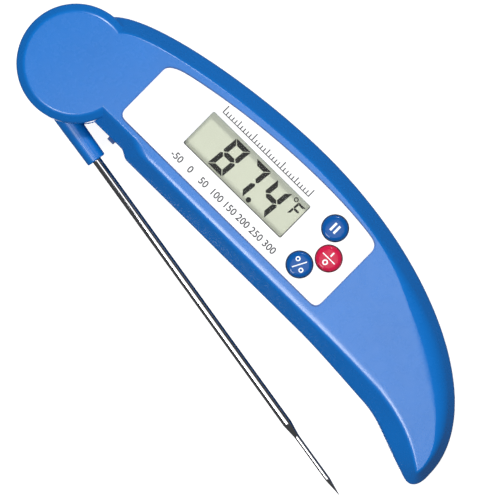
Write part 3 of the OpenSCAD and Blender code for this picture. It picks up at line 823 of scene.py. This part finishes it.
def digit(symbol, left, base, width, height, stroke, slant=0.1, gap=0.13):
    """Seven-segment figure as mitred outlines, leaning to the right."""
    w, h, s, g = width, height, stroke, gap
    m = h / 2
    shapes = {
        "a": [(g, h), (s + g, h - s), (w - s - g, h - s), (w - g, h)],
        "b": [(w, h - g), (w - s, h - s - g), (w - s, m + s / 2 + g), (w - s * 0.35, m + g),
              (w, m + g + s * 0.35)],
        "c": [(w, m - g - s * 0.35), (w - s * 0.35, m - g), (w - s, m - s / 2 - g), (w - s, s + g), (w, g)],
        "d": [(g, 0), (w - g, 0), (w - s - g, s), (s + g, s)],
        "e": [(0, g), (s, s + g), (s, m - s / 2 - g), (s * 0.35, m - g), (0, m - g - s * 0.35)],
        "f": [(0, m + g + s * 0.35), (s * 0.35, m + g), (s, m + s / 2 + g), (s, h - s - g), (0, h - g)],
        "g": [(s * 0.45 + g, m), (s + g, m - s / 2), (w - s - g, m - s / 2), (w - s * 0.45 - g, m),
              (w - s - g, m + s / 2), (s + g, m + s / 2)],
    }
    found = []
    for name in SEGMENTS[symbol]:
        outline = [Vector((left + x + y * slant, base + y)) for x, y in shapes[name]]
        turn = sum((b - a).cross(c - b) for a, b, c in zip(outline, outline[1:], outline[2:]))
        found.append(outline if turn > 0 else outline[::-1])
    return found


def reading():
    """The figures on the display: 87.4 and its unit."""
    base = WINDOW_LOW.y + 0.75
    tall = 9.8
    shapes = digit("8", 42.2, base, 5.2, tall, 1.35) + digit("7", 49.6, base, 5.2, tall, 1.35)
    shapes += digit("4", 57.4, base, 5.2, tall, 1.35)
    shapes += [disc((56.5, base + 0.6), 0.72)] + hoop((65.3, base + tall - 0.5), 0.5, 0.28, 28)
    shapes += digit("F", 65.9, base + 5.2, 2.5, 4.1, 0.6, 0.08, 0.05)
    ink = thin("display_reading", shapes, film_high.z, 0.02)
    return place(ink, "casing", "lcd_film", lcd_ink)


def window_shadow_line():
    """Black strips of painted shadow along the lower and right edges of the window, where the recess's shade
    falls.
    """
    low, high = WINDOW_LOW, WINDOW_HIGH
    t = 0.24
    lower = rectangle((low.x + 0.1, low.y), (high.x, low.y + t))
    right = rectangle((high.x - t, low.y), (high.x, high.y - 0.2))
    # Painted shadow: thin black strips stand in for the recess's shade on two sides of the window
    line = unite(*[thin("painted_shadow_strip", [side], film_high.z + 0.05, 0.8) for side in (lower, right)])
    line.name = "window_painted_shadow"
    return place(line, "casing", "rubber_black", window_painted_shadow_black)


def scale_marks():
    """Printed graduations above the window, standing on a thin base line."""
    pitch = 1.03
    count = 31
    shapes = []
    for i in range(count):
        tall = 2.1 if i % 10 == 0 else 1.6 if i % 5 == 0 else 1.0
        x = 36 + pitch * i
        shapes.append(bar((x, 17.75), (x, 17.75 + tall), 0.3))
    shapes.append(bar((36 - 0.15, 17.62), (36 + (count - 1) * pitch + 0.15, 17.62), 0.24))
    marks = thin("scale_marks", shapes, panel_high.z, 0.015)
    return place(marks, "casing", "panel_white", print_grey)


def scale_figures():
    """Figures of the measuring range, as flat type."""
    made = None
    figures = ["-50", "0", "50", "100", "150", "200", "250", "300"]
    for i, figure in enumerate(figures):
        text = bpy.data.curves.new("figure", "FONT")
        text.body = figure
        text.size = 2.7
        text.offset = 0.035
        text.align_x = "CENTER"
        text.extrude = 0.01
        text.resolution_u = 6
        flat = bpy.data.objects.new("figure", text)
        bpy.context.scene.collection.objects.link(flat)
        mesh = bpy.data.meshes.new_from_object(flat)
        bpy.data.objects.remove(flat)
        mesh.transform(Matrix.Translation((35.6 + 4.75 * i, 0.3, panel_high.z + 0.01)))
        piece = bpy.data.objects.new("figure", mesh)
        bpy.context.scene.collection.objects.link(piece)
        made = joined(made, piece) if made else piece
    made.name = "scale_figures"
    return place(made, "casing", "panel_white", print_grey)


def joined(first, second):
    """One mesh that holds both, as separate islands."""
    bm = bmesh.new()
    bm.from_mesh(first.data)
    bm.from_mesh(second.data)
    bmesh.ops.remove_doubles(bm, verts=bm.verts, dist=1e-5)
    bm.to_mesh(first.data)
    bm.free()
    bpy.data.objects.remove(second)
    return first


# ---- Keys ----

def dome_height(radius):
    """Height of a key's polished top at that distance from its centre."""
    return CASE_H + 0.62 - 0.22 * (radius / KEY_R) ** 2


def key(name, node, material, slot, legend):
    low, high = span(node)
    centre = key_centre(node)
    rim = KEY_R - 0.55
    flange_z = ROOF_Z - 0.5
    flange_r = KEY_R + 0.35
    profile = [(0, low.z), (1.2, low.z), (1.2, flange_z), (flange_r, flange_z), (flange_r, flange_z + 0.4),
               (KEY_R, flange_z + 0.4), (KEY_R, CASE_H - 0.15)]
    shoulder = bent((KEY_R, CASE_H - 0.15), (KEY_R, CASE_H + 0.25), (rim, dome_height(rim) - 0.02), 8)
    profile += [tuple(p) for p in shoulder]
    profile += [(rim * (1 - i / 8), dome_height(rim * (1 - i / 8))) for i in range(1, 8)]
    profile.append((0, dome_height(0)))
    cap = lathe(name + "_cap", profile, 96, Matrix.Translation((centre.x, centre.y, 0)))
    place(cap, name + "_key", slot, material, node, 28)
    mark = curved(name + "_legend", legend, centre)
    place(mark, name + "_key", slot, print_white, None, 60)


def curved(name, outlines, centre, thickness=0.05, proud=0.012):
    """Printed shapes that follow a key's dome; outlines are about the key's centre."""
    def build(bm):
        for outline in outlines:
            tops, feet = [], []
            for p in outline:
                z = dome_height(Vector(p).length) + proud
                tops.append(bm.verts.new((p[0] + centre.x, p[1] + centre.y, z)))
                feet.append(bm.verts.new((p[0] + centre.x, p[1] + centre.y, z - thickness)))
            bm.faces.new(tops)
            bm.faces.new(feet[::-1])
            for i in range(len(tops)):
                k = (i + 1) % len(tops)
                bm.faces.new((feet[i], feet[k], tops[k], tops[i]))
    return solid(name, build)


def stroke(start, end, width, n=6):
    """A straight stroke cut into short pieces, so that it can follow a dome."""
    start, end = Vector(start), Vector(end)
    return [bar(start.lerp(end, i / n), start.lerp(end, (i + 1) / n), width) for i in range(n)]


def hold_legend():
    """Two upright bars, the usual sign for holding a reading."""
    return stroke((-0.62, -1.25), (-0.62, 1.25), 0.6) + stroke((0.62, -1.25), (0.62, 1.25), 0.6)


def power_legend():
    """Bar and ring on the two sides of a line."""
    return (stroke((-2.1, 0), (2.1, 0), 0.28, 8) + stroke((0, 0.7), (0, 2.0), 0.42)
            + hoop((0, -1.35), 0.58, 0.36, 24))


def unit_legend():
    """Two degree rings on the two sides of a slanted line."""
    return (stroke((-0.95, -1.8), (0.95, 1.8), 0.3, 8) + hoop((-1.3, 0.8), 0.5, 0.32, 20)
            + hoop((1.3, -0.8), 0.5, 0.32, 20))


# ---- Probe ----

def probe_hub():
    chamfer = 0.3
    rim = [(0, hub_low.z), (HUB_R - chamfer, hub_low.z), (HUB_R, hub_low.z + chamfer),
           (HUB_R, hub_high.z - chamfer), (HUB_R - chamfer, hub_high.z), (0, hub_high.z)]
    hub = lathe("probe_knuckle", rim, 180)
    turn = along_probe()
    end = [tuple(p) for p in bent((2.66, COLLAR_END - 0.5), (2.66, COLLAR_END), (2.2, COLLAR_END), 4)]
    collar = [(0, 5), (2.9, 5), (2.85, 12)] + end + [(0, COLLAR_END)]
    unite(hub, lathe("collar", collar, 64, turn))
    cut(hub, pillar("pivot_bore", (0, 0), 0, CASE_H, 4.55, 64))
    cut(hub, cut(pillar("groove", (0, 0), PARTING_Z + 0.1, CASE_H, 7.4, 64),
                 pillar("groove_core", (0, 0), PARTING_Z - 1, CASE_H + 1, 5.2, 64)))
    mouth_r = TUBE_R + 0.22
    bore = [(0, 5), (TUBE_R, 5), (TUBE_R, COLLAR_END - 0.25), (mouth_r, COLLAR_END + 0.1),
            (mouth_r, COLLAR_END + 1), (0, COLLAR_END + 1)]
    cut(hub, lathe("tube_bore", bore, 48, turn))
    slot = Matrix.Rotation(math.atan2(probe_axis.y, probe_axis.x), 4, "Z")
    cut(hub, brick("lead_way", (1.6, -PROBE_OFFSET - 1.2, PARTING_Z - 1), (5.1, -6, CASE_H), place=slot))
    return place(hub, "probe", "hub_blue", hub_blue, "probe_hub", 28)


def probe_sheath():
    """Stepped steel tube drawn down to a needle with a ground point."""
    bore, needle_bore = 0.95, 0.4
    start = 5.2
    outside = [(TUBE_R - 0.03, start), (TUBE_R - 0.03, COLLAR_END), (TUBE_R, COLLAR_END)]
    outside += [(TUBE_R, mix(COLLAR_END, STEP[0] - 0.4, i / 6)) for i in range(1, 7)]
    corners = [
        ((TUBE_R, STEP[0] - 0.3), (TUBE_R, STEP[0]), (TUBE_R - 0.07, STEP[0] + 0.4), 3),
        ((NEEDLE_R + 0.08, STEP[1] - 0.5), (NEEDLE_R, STEP[1]), (NEEDLE_R, STEP[1] + 0.5), 3),
        ((NEEDLE_R, NEEDLE_END - 0.5), (NEEDLE_R, NEEDLE_END), (NEEDLE_R * 0.8, NEEDLE_END + 1), 4),
    ]
    for corner in corners:
        outside += [tuple(p) for p in bent(*corner)]
    outside += [(0.1, TIP - 0.45), (0.04, TIP - 0.08)]
    sheath = lathe("probe_tube", [(0, start)] + outside + [(0, TIP)], 48, along_probe())
    inside = [(0, start - 1), (bore, start - 1), (bore, STEP[0] - 1), (needle_bore, STEP[1]),
              (needle_bore, NEEDLE_END - 0.4), (0, NEEDLE_END - 0.4)]
    cut(sheath, lathe("tube_bore", inside, 32, along_probe()))
    return place(sheath, "probe", "steel_bright", steel_bright, "probe_sheath", 30)


# ---- Battery ----

def battery_cell():
    """AAA cell: sleeve with a crimped shoulder, contact nub and a black band."""
    low_x, cell_r, length, nub_r = 4.6, 5.25, 43.5, 1.9
    turn = in_bay() @ Matrix.Translation((low_x, 0, 7.1)) @ Matrix.Rotation(math.pi / 2, 4, "Y")
    sleeve = [(0, 0.25), (3.6, 0.25), (3.8, 0.0), (4.6, 0.0)]
    sleeve += [tuple(p) for p in bent((4.8, 0), (cell_r, 0), (cell_r, 0.5), 4)]
    sleeve += [(cell_r, length * 0.66), (cell_r, length - 0.6)]
    sleeve += [tuple(p) for p in bent((cell_r, length - 0.5), (cell_r, length), (cell_r - 0.6, length), 4)]
    sleeve += [(2.6, length), (2.4, length - 0.15), (nub_r, length - 0.1), (nub_r, length + 0.85),
               (nub_r - 0.15, length + 1), (0, length + 1)]
    cell = lathe("aaa_cell", sleeve, 72, turn)
    place(cell, "casing", "cell_wrap", cell_wrap, "battery_cell", 35)
    cell.data.materials.append(cell_black)
    cell.data.materials.append(contact_nickel)
    for face in cell.data.polygons:
        spot = turn.inverted() @ (face.center / MM)
        radius = math.hypot(spot.x, spot.y)
        if radius < 3.7:
            face.material_index = 2
        elif spot.z < length * 0.66:
            face.material_index = 1


def negative_spring():
    """Conical coil on a plate, pressed by the cell's flat end."""
    bay = in_bay()
    centre_z, turns, wire = 7.1, 3.5, 0.33
    steps = int(turns * 36)
    rings = []
    for i in range(steps + 1):
        f = i / steps
        a = 2 * math.pi * turns * f
        r = 4 - 1.8 * f
        centre = Vector((0.87 + 3.3 * f, r * math.cos(a), centre_z + r * math.sin(a)))
        outward = Vector((0, math.cos(a), math.sin(a)))
        ring = [centre + wire * (math.cos(b) * outward + math.sin(b) * Vector((1, 0, 0)))
                for b in (2 * math.pi * k / 12 for k in range(12))]
        rings.append([bay @ p for p in ring])
    spring = unite(loft("cell_spring", rings), brick("plate", (0.2, -3.8, 2.8), (0.6, 3.8, 11.4), 0.08, bay))
    return place(spring, "casing", "contact_nickel", contact_nickel, "negative_spring", 40)


def positive_contact():
    low, high = Vector((49.15, -3.8, 3)), Vector((49.5, 3.8, 11))
    plate = brick("cell_contact", low, high, 0.08, in_bay())
    return place(plate, "casing", "contact_nickel", contact_nickel, "positive_contact", 40)


# ---- CAD nodes that keep their own shape ----

KEPT = {
    "lcd_polariser": lcd_film, "lcd_front_glass": lcd_glass, "lcd_rear_glass": lcd_glass,
    "lcd_reflector": lcd_backing, "lcd_frame": frame_white, "zebra_strips": zebra,
    "circuit_board": board_green, "chip_blob": epoxy_black, "chip_capacitors": ceramic_tan,
    "switch_bodies": switch_black, "board_screws": screw_steel, "positive_lead": wire_red,
    "negative_lead": wire_black, "sensor_cable": wire_black, "friction_washer": nylon,
    "thermistor": sensor_black, "thermistor_leads": lead_brown, "probe_potting": epoxy_grey,
    "hold_plunger": switch_black, "power_plunger": switch_black, "unit_plunger": switch_black,
}


def finish_kept_nodes():
    for name, material in KEPT.items():
        node = frame["nodes"][name]
        node.data.materials.clear()
        node.data.materials.append(material)


# ---- Studio ----

CAMERA_OVER = Vector((65.9, -2.8, 12)) * MM
CAMERA_AWAY = 0.95
VIEW_WIDTH = 0.130
IMAGE_UP = Vector((-0.702, 0.712, 0))


def studio_camera():
    """Long lens straight above the front, turned so that the probe hangs down the picture."""
    camera = bpy.data.cameras.new("camera")
    camera.sensor_width = 36
    camera.lens = camera.sensor_width * CAMERA_AWAY / VIEW_WIDTH
    camera.clip_end = 10
    made = bpy.data.objects.new("camera", camera)
    back = Vector((0, 0, 1))
    right = IMAGE_UP.cross(back).normalized()
    up = back.cross(right)
    made.matrix_world = Matrix.Translation(CAMERA_OVER + back * CAMERA_AWAY) @ Matrix((
        (right.x, up.x, back.x, 0), (right.y, up.y, back.y, 0), (right.z, up.z, back.z, 0), (0, 0, 0, 1)))
    bpy.context.scene.collection.objects.link(made)
    bpy.context.scene.camera = made


def soft_light(name, at, toward, size, power):
    """Rectangular soft light; at and toward are in millimetres."""
    data = bpy.data.lights.new(name, "AREA")
    data.shape = "RECTANGLE"
    data.size, data.size_y = size[0] * MM, size[1] * MM
    data.energy = power
    made = bpy.data.objects.new(name, data)
    at, toward = Vector(at) * MM, Vector(toward) * MM
    made.location = at
    made.rotation_mode = "QUATERNION"
    made.rotation_quaternion = (toward - at).to_track_quat("-Z", "Y")
    bpy.context.scene.collection.objects.link(made)


def studio_world(strength=0.15):
    world = bpy.data.worlds.new("studio")
    world.use_nodes = True
    background = world.node_tree.nodes["Background"]
    background.inputs["Color"].default_value = (0.93, 0.96, 1, 1)
    background.inputs["Strength"].default_value = strength
    bpy.context.scene.world = world


def studio_floor():
    """Pale table that only the camera sees, and only from above, so that the back can be looked at."""
    mesh = bpy.data.meshes.new("floor")
    mesh.from_pydata([tuple(p) for p in lift(disc((60, 0), 2500, 64), -0.3)], [], [tuple(range(64))])
    mesh.transform(Matrix.Scale(MM, 4))
    floor = bpy.data.objects.new("floor", mesh)
    bpy.context.scene.collection.objects.link(floor)
    material, shader = new_material("floor_pale", 0.9, Specular_IOR_Level=0.1, Emission_Color=(1, 1, 1, 1),
                                    Emission_Strength=0.9)
    vector = coordinates(material)
    clouds = noise(material, vector, 0.01, 3)
    link(material, ramp(material, clouds, [(0.3, (0.3, 0.3, 0.3)), (0.7, (0.31, 0.31, 0.31))]),
         shader.inputs["Base Color"])
    path = add(material, "ShaderNodeLightPath")
    side = add(material, "ShaderNodeNewGeometry")
    seen = add(material, "ShaderNodeMath", operation="MULTIPLY")
    link(material, path.outputs["Is Camera Ray"], seen.inputs[0])
    link(material, spread(material, side.outputs["Backfacing"], 1.0, 0.0), seen.inputs[1])
    link(material, seen.outputs["Value"], shader.inputs["Alpha"])
    floor.data.materials.append(material)


def studio():
    studio_camera()
    studio_world()
    studio_floor()
    soft_light("overhead", (112, 0, 620), (90, 5, 0), (270, 250), 0.8)
    soft_light("lower_side", (68, -285, 545), (68, -5, 10), (150, 200), 2.1)
    soft_light("upper_side", (-85, 310, 380), (20, 15, 10), (90, 90), 1.5)
    soft_light("below", (60, 0, -600), (60, 0, 0), (500, 400), 1.6)
    bpy.context.scene.view_settings.view_transform = "Standard"


# ---- The object ----

studio()
finish_kept_nodes()
front_shell()
rear_shell()
battery_door()
bumper()
casing_screws()
overlay_panel()
window_lens()
reading()
window_shadow_line()
scale_marks()
scale_figures()
key("hold", "hold_button", button_blue, "button_blue", hold_legend())
key("power", "power_button", button_red, "button_red", power_legend())
key("unit", "unit_button", button_blue, "button_blue", unit_legend())
probe_hub()
probe_sheath()
battery_cell()
negative_spring()
positive_contact()
